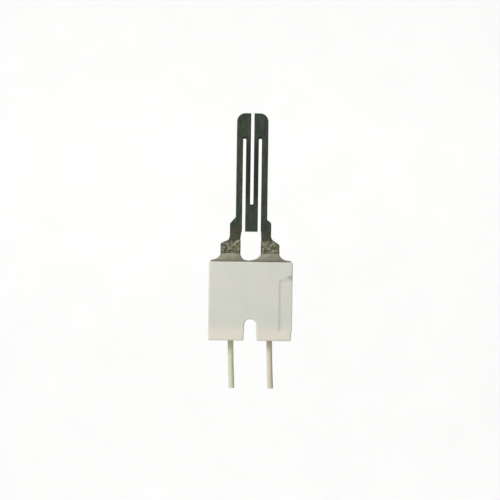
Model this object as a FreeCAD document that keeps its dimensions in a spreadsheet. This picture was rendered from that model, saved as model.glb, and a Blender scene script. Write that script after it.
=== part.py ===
import FreeCAD, Part
import math
import os
import Sketcher

# Flat silicon carbide hot surface igniter in a white steatite block, with two lead wires.
# Millimetres. +Z runs up to the tip, the front of the block faces -Y, and the origin is
# the centre of the block's flat back face. Heights of the element and of everything
# cemented round it are measured from the block's top face.

SIZES = {
    # pressed steatite block
    "block_width": 31.75,
    "block_height": 29.85,
    "block_depth": 11.1,
    "block_round": 0.4,
    "cavity_width": 28.0,
    "cavity_thickness": 6.9,
    "cavity_depth": 18.0,
    "cavity_round": 1.2,
    "lead_hole_radius": 1.35,
    "lead_hole_flare": 0.3,
    # screw notch in the foot of the block
    "notch_height": 8.1,
    "notch_half": 2.12,
    "notch_mouth_half": 2.45,
    "notch_corner": 2.0,
    "notch_chamfer": 0.2,
    # rebate on the right of the front face, and the nick above its outer corner
    "rebate_start": 10.6,
    "rebate_floor_start": 11.4,
    "rebate_shallow": 0.27,
    "rebate_deep": 0.32,
    "rebate_top": 7.3,
    "rebate_shallow_rise": 0.8,
    "rebate_deep_rise": 1.4,
    "rebate_bottom": 26.2,
    "nick_start": 12.9,
    "nick_middle": 14.3,
    "nick_shallow": 0.22,
    "nick_deep": 1.15,
    "nick_shallow_rise": 0.3,
    "nick_deep_rise": 0.9,
    "nick_top": 5.6,
    "nick_bottom": 6.9,
    "cut_lead_in": 0.03,
    "cut_overrun": 0.6,
    "side_step": 0.35,
    # slotted element
    "element_thickness": 1.6,
    "tip_height": 56.45,
    "tip_half": 5.98,
    "tip_radius": 3.2,
    "centre_slot_half": 0.6,
    "centre_slot_end": 21.75,
    "side_slot_middle": 2.98,
    "side_slot_half": 0.575,
    "side_slot_end": 46.7,
    "slot_corner": 0.3,
    "tongue_end": 11.4,
    "foot_depth": 12.0,
    "neck_height": 11.1,
    "arm_root_radius": 0.5,
    "arm_end_radius": 0.9,
    # its left leg
    "gap_left": 3.78,
    "neck_gap_left": 3.8,
    "arm_start_left": 16.97,
    "arm_height_left": 14.5,
    "arm_half_left": 8.14,
    "arm_corner_left": 0.9,
    "arm_end_left": 9.6,
    "shoulder_half_left": 8.7,
    "shoulder_height_left": 8.15,
    "shoulder_slope_left": 0.46,
    "foot_half_left": 11.6,
    "foot_gap_left": 4.0,
    # its right leg
    "gap_right": 3.66,
    "neck_gap_right": 3.7,
    "arm_start_right": 15.95,
    "arm_height_right": 14.9,
    "arm_half_right": 7.55,
    "arm_corner_right": 1.5,
    "arm_end_right": 9.4,
    "shoulder_half_right": 8.1,
    "shoulder_height_right": 8.3,
    "shoulder_slope_right": 0.75,
    "foot_half_right": 10.8,
    "foot_gap_right": 3.68,
    # sprayed metal contact coat
    "coat": 0.15,
    "coat_top": 8.1,
    # terminals, rivets and washers
    "lead_spacing": 14.7,
    "rivet_depth": 7.0,
    "rivet_radius": 1.1,
    "rivet_head_radius": 1.9,
    "rivet_crown_radius": 1.05,
    "rivet_head_height": 0.75,
    "ring_radius": 2.5,
    "ring_thickness": 0.6,
    "strip_half": 1.2,
    "strip_overhang": 0.15,
    "joggle_width": 1.4,
    "joggle_lap": 0.6,
    "washer_radius": 2.3,
    "washer_thickness": 0.5,
    "barrel_top": 13.2,
    "barrel_length": 3.6,
    "barrel_radius": 1.15,
    # lead wires
    "conductor_radius": 0.6,
    "insulation_radius": 0.87,
    "braid_radius": 1.085,
    "conductor_start": 13.4,
    "insulation_start": 17.2,
    "braid_start": 17.6,
    # refractory cement
    "cap_thickness": 1.2,
    "cap_skim": 0.5,
    "cap_half": 15.2,
    "cap_half_thickness": 4.3,
    "mound_top": 3.1,
    "mound_waist": 1.7,
    "mound_top_spread": 0.25,
    "mound_waist_spread": 1.0,
    "mound_foot_spread": 3.2,
}

# Centreline of each lead below the block's top face: sideways drift, then depth.
# Both leads drift the same way once they are out of the block.
LEAD_ROUTE = [(0.0, 17.2), (0.0, 27.4), (0.19, 38.3), (0.66, 48.05)]

ARC_SHARE = 0.45

# Cuts run past the faces they leave by this much, and lengths this close are the same.
CLEAR = 1.0
SAME = 1e-4
SIDES = {"left": -1, "right": 1}
PLANE_ROLES = {"front": "XZ_Plane", "side": "YZ_Plane", "top": "XY_Plane"}

BLOCK_TOP = "Sizes.block_height / 2"
BLOCK_FOOT = "-Sizes.block_height / 2"
BLOCK_MIDDLE = "-Sizes.block_depth / 2"
LEAD_X = "Sizes.lead_spacing / 2"
COATED_HALF = "(Sizes.element_thickness / 2 + Sizes.coat)"

doc = FreeCAD.newDocument("Igniter")
nodes = []


# ---------------------------------------------------------------- helpers


def make_sheet():
    """The spreadsheet that holds every driving dimension."""
    sheet = doc.addObject("Spreadsheet::Sheet", "Sizes")
    for row, (alias, value) in enumerate(SIZES.items(), start=1):
        sheet.set(f"A{row}", alias)
        sheet.set(f"B{row}", str(value))
        sheet.setAlias(f"B{row}", alias)
    doc.recompute()
    return sheet


def size(alias):
    """One driving dimension, read back from the sheet."""
    return float(doc.Sizes.get(alias))


def times(sign, expression):
    """An expression on the left (-1) or right (1) side of the middle."""
    return f"{sign} * ({expression})"


def place(item, across="0", deep="0", high="0"):
    """Bind an object's Placement to the sheet."""
    for axis, expression in zip("xyz", (across, deep, high)):
        item.setExpression(f"Placement.Base.{axis}", expression)


def new_body(name, across="0", deep=BLOCK_MIDDLE, high=BLOCK_TOP):
    """A sub-part's body; by default its origin is the middle of the block's top face."""
    body = doc.addObject("PartDesign::Body", name)
    body.Label = name
    place(body, across, deep, high)
    nodes.append(body)
    return body


def new_sketch(body, name, plane, offset="0"):
    """A sketch on one of the body's own planes: front (faces -Y), side (+X) or top (+Z)."""
    sketch = body.newObject("Sketcher::SketchObject", f"{body.Name}_{name}")
    support = [f for f in body.Origin.OriginFeatures if f.Role == PLANE_ROLES[plane]]
    sketch.AttachmentSupport = (support[0], [""])
    sketch.MapMode = "FlatFace"
    sketch.setExpression("AttachmentOffset.Base.z", offset)
    doc.recompute()
    return sketch


def pin_point(sketch, geometry, end, across, up):
    """Tie one point of a sketch to the sheet, as distances from the sketch's origin."""
    for kind, axis, expression in (("DistanceX", -2, across), ("DistanceY", -1, up)):
        value = value_of(sketch, expression)
        if abs(value) < SAME:
            sketch.addConstraint(Sketcher.Constraint("PointOnObject", geometry, end, axis))
            continue
        number = sketch.addConstraint(
            Sketcher.Constraint(kind, -1, 1, geometry, end, value)
        )
        sketch.setExpression(f"Constraints[{number}]", expression)


def value_of(sketch, expression):
    """What an expression gives now."""
    return float(sketch.evalExpression(expression))


def point_of(sketch, across, up):
    """The point that two expressions give now."""
    return FreeCAD.Vector(value_of(sketch, across), value_of(sketch, up), 0)


def draw_polygon(sketch, points):
    """A closed outline whose corners are pairs of expressions."""
    corners = [point_of(sketch, *point) for point in points]
    count = len(corners)
    for i in range(count):
        line = Part.LineSegment(corners[i], corners[(i + 1) % count])
        sketch.addGeometry(line, False)
    for i in range(count):
        sketch.addConstraint(Sketcher.Constraint("Coincident", i, 2, (i + 1) % count, 1))
    for i, point in enumerate(points):
        pin_point(sketch, i, 1, *point)


def draw_circle(sketch, across, up, radius):
    """A circle with its centre and radius tied to the sheet."""
    centre = point_of(sketch, across, up)
    circle = Part.Circle(centre, FreeCAD.Vector(0, 0, 1), value_of(sketch, radius))
    geometry = sketch.addGeometry(circle, False)
    pin_point(sketch, geometry, 3, across, up)
    number = sketch.addConstraint(
        Sketcher.Constraint("Radius", geometry, value_of(sketch, radius))
    )
    sketch.setExpression(f"Constraints[{number}]", radius)


def add_feature(body, kind, sketch, name, length, reverse=False, both=False):
    """A pad or a pocket, checked to add to or take from the body's volume."""
    before = body.Shape.Volume if body.Tip else 0.0
    feature = body.newObject(f"PartDesign::{kind}", f"{body.Name}_{name}")
    feature.Profile = sketch
    feature.setExpression("Length", length)
    feature.Reversed = reverse
    feature.Midplane = both
    doc.recompute()
    change = body.Shape.Volume - before
    if (change <= 0) if kind == "Pad" else (change >= 0):
        raise RuntimeError(f"{feature.Name} changes nothing")
    return feature


def dress(body, kind, name, amount, picks):
    """A fillet or chamfer on the edges of the tip that the test picks."""
    base = body.Tip
    edges = [
        f"Edge{i}" for i, edge in enumerate(base.Shape.Edges, start=1) if picks(edge)
    ]
    if not edges:
        raise RuntimeError(f"{body.Name}_{name} picks no edge")
    feature = body.newObject(f"PartDesign::{kind}", f"{body.Name}_{name}")
    feature.Base = (base, edges)
    feature.setExpression("Radius" if kind == "Fillet" else "Size", amount)
    doc.recompute()
    return feature


def near(first, second):
    return abs(first - second) < 10 * SAME


def stands_at(edge, spots):
    """True for an edge along Y that passes through one of the (x, z) spots."""
    box = edge.BoundBox
    if box.XLength > SAME or box.ZLength > SAME:
        return False
    return any(near(box.XMin, across) and near(box.ZMin, up) for across, up in spots)


# ---------------------------------------------------------------- ceramic block


def make_block():
    """Steatite holder: cavity from the top, two lead holes, screw notch and rebate."""
    body = new_body("ceramic_block", deep="0", high="0")
    half = "Sizes.block_width / 2"
    narrow = f"{half} - Sizes.side_step"
    step_height = f"{BLOCK_TOP} - Sizes.rebate_bottom"
    outline = new_sketch(body, "outline", "front")
    draw_polygon(
        outline,
        [
            (f"-{half}", BLOCK_FOOT),
            (narrow, BLOCK_FOOT),
            (narrow, f"{step_height} - Sizes.side_step"),
            (half, step_height),
            (half, BLOCK_TOP),
            (f"-{half}", BLOCK_TOP),
        ],
    )
    add_feature(body, "Pad", outline, "pressing", "Sizes.block_depth")
    dress(body, "Fillet", "rounds", "Sizes.block_round", is_outer_block_edge)
    cut_rebate(body)
    cut_notch(body)
    cut_cavity(body)
    cut_lead_holes(body)
    return body


def is_outer_block_edge(edge):
    """The straight edges of the pressing, but for the small step on its right side."""
    box = edge.BoundBox
    step_height = size("block_height") / 2 - size("rebate_bottom")
    crosses_depth = box.YLength > SAME
    near_step = abs(box.ZMin - step_height) < 2 * size("side_step")
    return not (crosses_depth and near_step)


def cut_rebate(body):
    """A shallow rebate between two sloping ends, and a deeper nick above its outer corner."""
    past_side = "Sizes.block_width / 2 + Sizes.cut_overrun"
    cut_from_face(
        body,
        "rebate",
        [("Sizes.rebate_floor_start", "rebate_shallow"), (past_side, "rebate_deep")],
    )
    cut_from_face(
        body,
        "nick",
        [("Sizes.nick_middle", "nick_shallow"), (past_side, "nick_deep")],
    )


def cut_from_face(body, name, sections):
    """A ruled cut into the front face that starts at nothing and follows some sections.

    Each section is (place along X, name of its depth). Its top end slopes up to the face
    by the rise of that name, and its bottom end slopes down by half as much.
    """
    face = "-Sizes.block_depth"
    outside = f"{face} - Sizes.cut_overrun"
    top = f"{BLOCK_TOP} - Sizes.{name}_top"
    bottom = f"{BLOCK_TOP} - Sizes.{name}_bottom"
    outlines = [(f"Sizes.{name}_start", f"{face} - Sizes.cut_lead_in", "0")]
    for across, depth in sections:
        rise = f"Sizes.{depth}_rise * (1 + Sizes.cut_overrun / Sizes.{depth})"
        outlines.append((across, f"{face} + Sizes.{depth}", rise))
    sketches = []
    for number, (across, floor, rise) in enumerate(outlines):
        sketch = new_sketch(body, f"{name}_section_{number}", "side", across)
        draw_polygon(
            sketch,
            [
                (outside, f"{top} + {rise}"),
                (floor, top),
                (floor, bottom),
                (outside, f"{bottom} - {rise} / 2"),
            ],
        )
        sketches.append(sketch)
    before = body.Shape.Volume
    loft = body.newObject("PartDesign::SubtractiveLoft", f"ceramic_block_{name}")
    loft.Profile = sketches[0]
    loft.Sections = sketches[1:]
    loft.Ruled = True
    doc.recompute()
    if body.Shape.Volume >= before:
        raise RuntimeError(f"the {name} cuts nothing")


def cut_notch(body):
    """A screw notch with a rounded crown, wider at its mouth, with chamfered rims."""
    crown = f"{BLOCK_FOOT} + Sizes.notch_height"
    outline = new_sketch(body, "notch", "front")
    draw_polygon(
        outline,
        [
            ("-Sizes.notch_mouth_half", BLOCK_FOOT),
            ("Sizes.notch_mouth_half", BLOCK_FOOT),
            ("Sizes.notch_half", crown),
            ("-Sizes.notch_half", crown),
        ],
    )
    add_feature(body, "Pocket", outline, "notch_cut", "Sizes.block_depth", reverse=True)
    crown_level = -size("block_height") / 2 + size("notch_height")
    corners = [(sign * size("notch_half"), crown_level) for sign in SIDES.values()]
    dress(
        body,
        "Fillet",
        "notch_corners",
        "Sizes.notch_corner",
        lambda edge: stands_at(edge, corners),
    )
    dress(body, "Chamfer", "notch_rim", "Sizes.notch_chamfer", is_notch_rim)


def is_notch_rim(edge):
    """Edges of the notch that lie in the front or back face."""
    box = edge.BoundBox
    reach = size("notch_mouth_half") + size("block_round") / 2
    crown = -size("block_height") / 2 + size("notch_height") + size("block_round") / 2
    in_a_face = near(box.YMax, 0) or near(box.YMin, -size("block_depth"))
    inside = box.XMin > -reach and box.XMax < reach and box.ZMax < crown
    return box.YLength < SAME and in_a_face and inside


def cut_cavity(body):
    """The deep pocket, open at the top, that the cement fills."""
    half = "Sizes.cavity_width / 2"
    front = f"{BLOCK_MIDDLE} - Sizes.cavity_thickness / 2"
    back = f"{BLOCK_MIDDLE} + Sizes.cavity_thickness / 2"
    mouth = new_sketch(body, "cavity", "top", BLOCK_TOP)
    draw_polygon(mouth, [(f"-{half}", front), (half, front), (half, back), (f"-{half}", back)])
    add_feature(body, "Pocket", mouth, "cavity_cut", "Sizes.cavity_depth")
    dress(body, "Fillet", "cavity_corners", "Sizes.cavity_round", is_cavity_corner)


def is_cavity_corner(edge):
    box = edge.BoundBox
    return near(box.ZLength, size("cavity_depth")) and near(
        abs(box.XMin), size("cavity_width") / 2
    )


def cut_lead_holes(body):
    """Two holes from the foot of the block up into the cavity, flared at their mouths."""
    holes = new_sketch(body, "lead_holes", "top", BLOCK_FOOT)
    for sign in SIDES.values():
        draw_circle(holes, times(sign, LEAD_X), BLOCK_MIDDLE, "Sizes.lead_hole_radius")
    length = f"Sizes.block_height - Sizes.cavity_depth + {CLEAR}"
    add_feature(body, "Pocket", holes, "lead_hole_cut", length, reverse=True)
    dress(body, "Chamfer", "lead_hole_flares", "Sizes.lead_hole_flare", is_hole_mouth)


def is_hole_mouth(edge):
    box = edge.BoundBox
    at_foot = near(box.ZMin, -size("block_height") / 2) and box.ZLength < SAME
    return at_foot and near(box.XLength, 2 * size("lead_hole_radius"))


# ---------------------------------------------------------------- element


def element_corners(side):
    """One half of the outline, from the gap up to the tip; x is the distance outwards."""
    inner = f"Sizes.foot_gap_{side} + Sizes.coat"
    outer = f"Sizes.foot_half_{side} - Sizes.coat"
    shoulder_drop = f"Sizes.shoulder_slope_{side} * ({outer} - Sizes.shoulder_half_{side})"
    return [
        (f"Sizes.gap_{side}", "Sizes.tongue_end"),
        (f"Sizes.neck_gap_{side}", "Sizes.neck_height"),
        (inner, "Sizes.coat_top"),
        (inner, "-Sizes.foot_depth"),
        (outer, "-Sizes.foot_depth"),
        (outer, f"Sizes.shoulder_height_{side} - {shoulder_drop}"),
        (f"Sizes.shoulder_half_{side}", f"Sizes.shoulder_height_{side}"),
        (f"Sizes.arm_half_{side}", f"Sizes.arm_end_{side}"),
        (f"Sizes.arm_half_{side}", f"Sizes.arm_height_{side}"),
        ("Sizes.tip_half", f"Sizes.arm_start_{side}"),
        ("Sizes.tip_half", "Sizes.tip_height"),
    ]


def make_element():
    """The flat slotted blade: a centre slot from the tip and two side slots from the foot.

    Its two legs are not quite alike, so each has its own sizes.
    """
    body = new_body("igniter_element")
    right = element_corners("right")
    left = [(times(-1, across), up) for across, up in reversed(element_corners("left"))]
    outline = new_sketch(body, "outline", "front")
    draw_polygon(outline, right + left)
    add_feature(body, "Pad", outline, "blade", "Sizes.element_thickness", both=True)
    corner = [(sign * size("tip_half"), size("tip_height")) for sign in (-1, 1)]
    dress(body, "Fillet", "tip", "Sizes.tip_radius", lambda edge: stands_at(edge, corner))
    for side, sign in SIDES.items():
        arm = sign * size(f"arm_half_{side}")
        root = (sign * size("tip_half"), size(f"arm_start_{side}"))
        round_off(body, f"{side}_arm_root", "Sizes.arm_root_radius", root)
        corner = (arm, size(f"arm_height_{side}"))
        round_off(body, f"{side}_arm_corner", f"Sizes.arm_corner_{side}", corner)
        end = (arm, size(f"arm_end_{side}"))
        round_off(body, f"{side}_arm_end", "Sizes.arm_end_radius", end)
    through = f"Sizes.element_thickness + {CLEAR}"
    cut_blade_slots(body, through)
    cut_rivet_hole(body, SIDES.values(), through)
    return body


def round_off(body, name, radius, spot):
    """A fillet on the edge along Y that stands at one (x, z) spot."""
    dress(body, "Fillet", name, radius, lambda edge: stands_at(edge, [spot]))


def cut_blade_slots(body, through):
    """The three slots, square ended with small corner radii."""
    slots = [("centre_slot", "0", "centre", f"Sizes.tip_height + {CLEAR}")]
    for side, sign in SIDES.items():
        middle = times(sign, "Sizes.side_slot_middle")
        slots.append((f"{side}_slot", middle, "side", "Sizes.tongue_end"))
    ends = []
    for name, middle, kind, mouth in slots:
        half = f"Sizes.{kind}_slot_half"
        end = f"Sizes.{kind}_slot_end"
        left = f"{middle} - {half}"
        right = f"{middle} + {half}"
        sketch = new_sketch(body, name, "front")
        draw_polygon(sketch, [(left, mouth), (right, mouth), (right, end), (left, end)])
        add_feature(body, "Pocket", sketch, f"{name}_cut", through, both=True)
        ends += [(value_of(sketch, edge), value_of(sketch, end)) for edge in (left, right)]
    dress(
        body,
        "Fillet",
        "slot_corners",
        "Sizes.slot_corner",
        lambda edge: stands_at(edge, ends),
    )


def cut_rivet_hole(body, signs, length):
    """The round hole or holes that the rivets pass through."""
    sketch = new_sketch(body, "rivet_hole", "front")
    for sign in signs:
        middle = times(sign, LEAD_X)
        draw_circle(sketch, middle, "-Sizes.rivet_depth", "Sizes.rivet_radius")
    add_feature(body, "Pocket", sketch, "rivet_hole_cut", length, both=True)


def make_metal_spray(side, sign):
    """The sprayed metal contact coat: a thin skin all round one foot of the element."""
    body = new_body(f"metal_spray_{side}")
    slope = f"Sizes.shoulder_slope_{side}"
    gap = f"Sizes.foot_gap_{side}"
    reach = f"Sizes.foot_half_{side}"
    shoulder = f"Sizes.shoulder_half_{side}"
    shoulder_level = f"Sizes.shoulder_height_{side}"
    lift = f"Sizes.coat * sqrt(1 + {slope} * {slope})"
    skin_level = f"({shoulder_level} + {lift})"
    skin_foot = "-Sizes.foot_depth - Sizes.coat"
    skin = new_sketch(body, "skin", "front")
    outer = [
        (gap, "Sizes.coat_top"),
        (f"{shoulder} + ({skin_level} - Sizes.coat_top) / {slope}", "Sizes.coat_top"),
        (reach, f"{skin_level} - {slope} * ({reach} - {shoulder})"),
        (reach, skin_foot),
        (gap, skin_foot),
    ]
    draw_polygon(skin, [(times(sign, across), up) for across, up in outer])
    thickness = f"2 * {COATED_HALF}"
    add_feature(body, "Pad", skin, "skin_pad", thickness, both=True)
    inner_x = f"{gap} + Sizes.coat"
    outer_x = f"{reach} - Sizes.coat"
    inner = [
        (inner_x, shoulder_level),
        (shoulder, shoulder_level),
        (outer_x, f"{shoulder_level} - {slope} * ({outer_x} - {shoulder})"),
        (outer_x, "-Sizes.foot_depth"),
        (inner_x, "-Sizes.foot_depth"),
    ]
    core = new_sketch(body, "core", "front")
    draw_polygon(core, [(times(sign, across), up) for across, up in inner])
    add_feature(body, "Pocket", core, "core_cut", "Sizes.element_thickness", both=True)
    cut_rivet_hole(body, [sign], f"{thickness} + {CLEAR}")
    return body


# ---------------------------------------------------------------- terminals


def make_terminal(side, sign):
    """A ring terminal on the front of one foot, joggled back to a crimp barrel."""
    body = new_body(f"lead_terminal_{side}", across=times(sign, LEAD_X))
    ring = new_sketch(body, "ring", "front", COATED_HALF)
    draw_circle(ring, "0", "-Sizes.rivet_depth", "Sizes.ring_radius")
    add_feature(body, "Pad", ring, "ring_pad", "Sizes.ring_thickness")
    strip = new_sketch(body, "strip", "front", COATED_HALF)
    strip_top = "-Sizes.rivet_depth - Sizes.ring_radius / 2"
    strip_end = "-Sizes.foot_depth - Sizes.coat - Sizes.strip_overhang"
    draw_polygon(
        strip,
        [
            ("-Sizes.strip_half", strip_end),
            ("Sizes.strip_half", strip_end),
            ("Sizes.strip_half", strip_top),
            ("-Sizes.strip_half", strip_top),
        ],
    )
    add_feature(body, "Pad", strip, "strip_pad", "Sizes.ring_thickness")
    joggle = new_sketch(body, "joggle", "side")
    front = f"-{COATED_HALF} - Sizes.ring_thickness"
    barrel_wall = "-(Sizes.conductor_radius + Sizes.barrel_radius) / 2"
    strip_level = f"{strip_end} + Sizes.strip_overhang"
    lap_level = "-Sizes.barrel_top - Sizes.joggle_lap"
    draw_polygon(
        joggle,
        [
            (f"-{COATED_HALF}", strip_level),
            (front, strip_level),
            ("-Sizes.barrel_radius", lap_level),
            (barrel_wall, lap_level),
            (barrel_wall, "-Sizes.barrel_top"),
            (f"-{COATED_HALF}", strip_end),
        ],
    )
    add_feature(body, "Pad", joggle, "joggle_pad", "Sizes.joggle_width", both=True)
    barrel = new_sketch(body, "barrel", "top", "-Sizes.barrel_top")
    draw_circle(barrel, "0", "0", "Sizes.barrel_radius")
    add_feature(body, "Pad", barrel, "barrel_pad", "Sizes.barrel_length", reverse=True)
    bore = new_sketch(body, "bore", "top", "-Sizes.barrel_top")
    draw_circle(bore, "0", "0", "Sizes.conductor_radius")
    add_feature(body, "Pocket", bore, "bore_cut", "Sizes.barrel_length")
    hole = new_sketch(body, "hole", "front", COATED_HALF)
    draw_circle(hole, "0", "-Sizes.rivet_depth", "Sizes.rivet_radius")
    add_feature(body, "Pocket", hole, "hole_cut", "Sizes.ring_thickness", reverse=True)
    return body


def make_rivet(side, sign):
    """A headed rivet through terminal, foot and washer, turned about its own axis."""
    body = new_body(
        f"terminal_rivet_{side}",
        across=times(sign, LEAD_X),
        high=f"{BLOCK_TOP} - Sizes.rivet_depth",
    )
    sketch = new_sketch(body, "profile", "top")
    front_seat = f"-{COATED_HALF} - Sizes.ring_thickness"
    back_seat = f"{COATED_HALF} + Sizes.washer_thickness"
    front_crown = f"{front_seat} - Sizes.rivet_head_height"
    back_crown = f"{back_seat} + Sizes.rivet_head_height"
    draw_polygon(
        sketch,
        [
            ("0", front_crown),
            ("Sizes.rivet_crown_radius", front_crown),
            ("Sizes.rivet_head_radius", front_seat),
            ("Sizes.rivet_radius", front_seat),
            ("Sizes.rivet_radius", back_seat),
            ("Sizes.rivet_head_radius", back_seat),
            ("Sizes.rivet_crown_radius", back_crown),
            ("0", back_crown),
        ],
    )
    turned = body.newObject("PartDesign::Revolution", f"{body.Name}_turned")
    turned.Profile = sketch
    turned.ReferenceAxis = (sketch, ["V_Axis"])
    turned.Angle = 360
    doc.recompute()
    return body


def make_washer(side, sign):
    """The flat washer that spreads the rivet's pull on the back of one foot."""
    body = new_body(
        f"terminal_washer_{side}",
        across=times(sign, LEAD_X),
        high=f"{BLOCK_TOP} - Sizes.rivet_depth",
    )
    disc = new_sketch(body, "disc", "front", f"-{COATED_HALF}")
    draw_circle(disc, "0", "0", "Sizes.washer_radius")
    draw_circle(disc, "0", "0", "Sizes.rivet_radius")
    add_feature(body, "Pad", disc, "disc_pad", "Sizes.washer_thickness", reverse=True)
    return body


# ---------------------------------------------------------------- lead wires


def lead_path(start_depth):
    """The lead's route from a depth: straight runs joined by the largest tangent arcs."""
    points = [FreeCAD.Vector(drift, 0, -depth) for drift, depth in LEAD_ROUTE]
    here = FreeCAD.Vector(points[0].x, 0, -start_depth)
    pieces = []
    radii = []
    for before, corner, after in zip(points, points[1:], points[2:]):
        into = (corner - before).normalize()
        out = (after - corner).normalize()
        turn = into.getAngle(out)
        reach = ARC_SHARE * min((corner - before).Length, (after - corner).Length)
        radius = reach / math.tan(turn / 2)
        start = corner - into * reach
        end = corner + out * reach
        inward = (out - into).normalize()
        middle = corner + inward * (radius / math.cos(turn / 2) - radius)
        pieces.append(Part.LineSegment(here, start).toShape())
        pieces.append(Part.Arc(start, middle, end).toShape())
        radii.append(radius)
        here = end
    pieces.append(Part.LineSegment(here, points[-1]).toShape())
    return Part.Wire(pieces), radii


def sweep_round(path, start_depth, radius):
    """A round rod along a path that starts straight down."""
    start = FreeCAD.Vector(0, 0, -start_depth)
    circle = Part.Circle(start, FreeCAD.Vector(0, 0, -1), radius)
    section = Part.Wire([circle.toShape()])
    return path.makePipeShell([section], True, True)


def make_lead_layer(side, sign, layer, start, outer, inner):
    """One layer of a lead: the conductor, its insulation or the braid over it."""
    start_depth = size(start)
    path, radii = lead_path(start_depth)
    shape = sweep_round(path, start_depth, size(outer))
    area = math.pi * size(outer) ** 2
    if inner is not None:
        shape = shape.cut(sweep_round(path, start_depth, size(inner)))
        area -= math.pi * size(inner) ** 2
    feature = doc.addObject("Part::Feature", f"lead_{layer}_{side}")
    feature.Label = f"lead_{layer}_{side}"
    feature.Shape = shape.Solids[0]
    place(feature, times(sign, LEAD_X), BLOCK_MIDDLE, BLOCK_TOP)
    nodes.append(feature)
    share = feature.Shape.Volume / (area * path.Length)
    bends = ", ".join(f"{radius:.0f}" for radius in radii)
    print(f"{feature.Label}: length {path.Length:.1f}, volume ratio {share:.4f}, radii {bends}")
    return feature


# ---------------------------------------------------------------- cement


def make_box(name, across, deep, high, low):
    """A box centred on the element's plane, from one level up to another."""
    box = doc.addObject("Part::Box", name)
    box.setExpression("Length", f"2 * ({across})")
    box.setExpression("Width", f"2 * ({deep})")
    box.setExpression("Height", f"({high}) - ({low})")
    place(box, f"-({across})", f"{BLOCK_MIDDLE} - ({deep})", f"{BLOCK_TOP} + ({low})")
    return box


def make_frustum(name, side, low, high, low_spread, high_spread):
    """A tapered ring of cement round one foot, spreading further at its lower level."""
    wedge = doc.addObject("Part::Wedge", name)
    middle = times(SIDES[side], f"(Sizes.foot_half_{side} + Sizes.foot_gap_{side}) / 2")
    half = f"(Sizes.foot_half_{side} - Sizes.foot_gap_{side}) / 2"
    wedge.setExpression("Ymin", "0")
    wedge.setExpression("Ymax", f"({high}) - ({low})")
    for level, spread in (("", low_spread), ("2", high_spread)):
        wedge.setExpression(f"X{level}min", f"-{half} - {spread}")
        wedge.setExpression(f"X{level}max", f"{half} + {spread}")
        wedge.setExpression(f"Z{level}min", f"-{COATED_HALF} - {spread}")
        wedge.setExpression(f"Z{level}max", f"{COATED_HALF} + {spread}")
    wedge.Placement.Rotation = FreeCAD.Rotation(FreeCAD.Vector(1, 0, 0), 90)
    place(wedge, middle, BLOCK_MIDDLE, f"{BLOCK_TOP} + ({low})")
    return wedge


def make_cut(name, base, tools):
    """The base less everything that is bedded in it."""
    bedded = doc.addObject("Part::MultiFuse", f"{name}_bedded")
    bedded.Shapes = tools
    cut = doc.addObject("Part::Cut", name)
    cut.Label = name
    cut.Base = base
    cut.Tool = bedded
    doc.recompute()
    nodes.append(cut)
    return cut


def make_potting(bedded):
    """The refractory cement that fills the cavity below its cap."""
    fill = make_box(
        "cement_fill",
        "Sizes.cavity_width / 2",
        "Sizes.cavity_thickness / 2",
        "-Sizes.cap_thickness",
        "-Sizes.cavity_depth",
    )
    return make_cut("potting_cement", fill, bedded)


def make_cap(bedded):
    """The cement that closes the cavity, smeared on the rim and drawn up round each foot."""
    layer = make_box(
        "cap_layer",
        "Sizes.cavity_width / 2",
        "Sizes.cavity_thickness / 2",
        "0",
        "-Sizes.cap_thickness",
    )
    skim = make_box(
        "cap_skim_layer",
        "Sizes.cap_half",
        "Sizes.cap_half_thickness",
        "Sizes.cap_skim",
        "0",
    )
    parts = [layer, skim]
    waist = ("Sizes.mound_waist", "Sizes.mound_waist_spread")
    skirt = (("0", "Sizes.mound_foot_spread"), waist)
    collar = (waist, ("Sizes.mound_top", "Sizes.mound_top_spread"))
    for side in SIDES:
        for name, ((low, low_spread), (high, high_spread)) in (
            ("skirt", skirt),
            ("collar", collar),
        ):
            parts.append(
                make_frustum(f"cap_{name}_{side}", side, low, high, low_spread, high_spread)
            )
    whole = doc.addObject("Part::MultiFuse", "cap_whole")
    whole.Shapes = parts
    doc.recompute()
    return make_cut("cement_cap", whole, bedded)


# ---------------------------------------------------------------- build, check, write


def check_all():
    """Stop on a failed object or a sub-part that is not one or more valid solids."""
    for item in doc.Objects:
        if "Invalid" in item.State or "Error" in item.State:
            raise RuntimeError(f"{item.Name} failed: {item.State}")
    for node in nodes:
        shape = node.Shape
        if shape.isNull() or not shape.isValid() or not shape.Solids:
            raise RuntimeError(f"{node.Label} has no valid solid")


def write_all():
    os.makedirs("parts", exist_ok=True)
    for node in nodes:
        node.Shape.exportStep(f"parts/{node.Label}.step")
        print(f"{node.Label}: {len(node.Shape.Solids)} solid, {node.Shape.Volume:.1f} mm3")


def main():
    make_sheet()
    block = make_block()
    bedded = [block, make_element()]
    layers = [
        ("conductor", "conductor_start", "conductor_radius", None),
        ("insulation", "insulation_start", "insulation_radius", "conductor_radius"),
        ("braid", "braid_start", "braid_radius", "insulation_radius"),
    ]
    for side, sign in SIDES.items():
        for make_piece in (make_metal_spray, make_terminal, make_rivet, make_washer):
            bedded.append(make_piece(side, sign))
        for layer in layers:
            bedded.append(make_lead_layer(side, sign, *layer))
    doc.recompute()
    make_potting(bedded)
    make_cap(bedded)
    doc.recompute()
    check_all()
    write_all()


main()
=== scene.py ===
import itertools
import math

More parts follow.
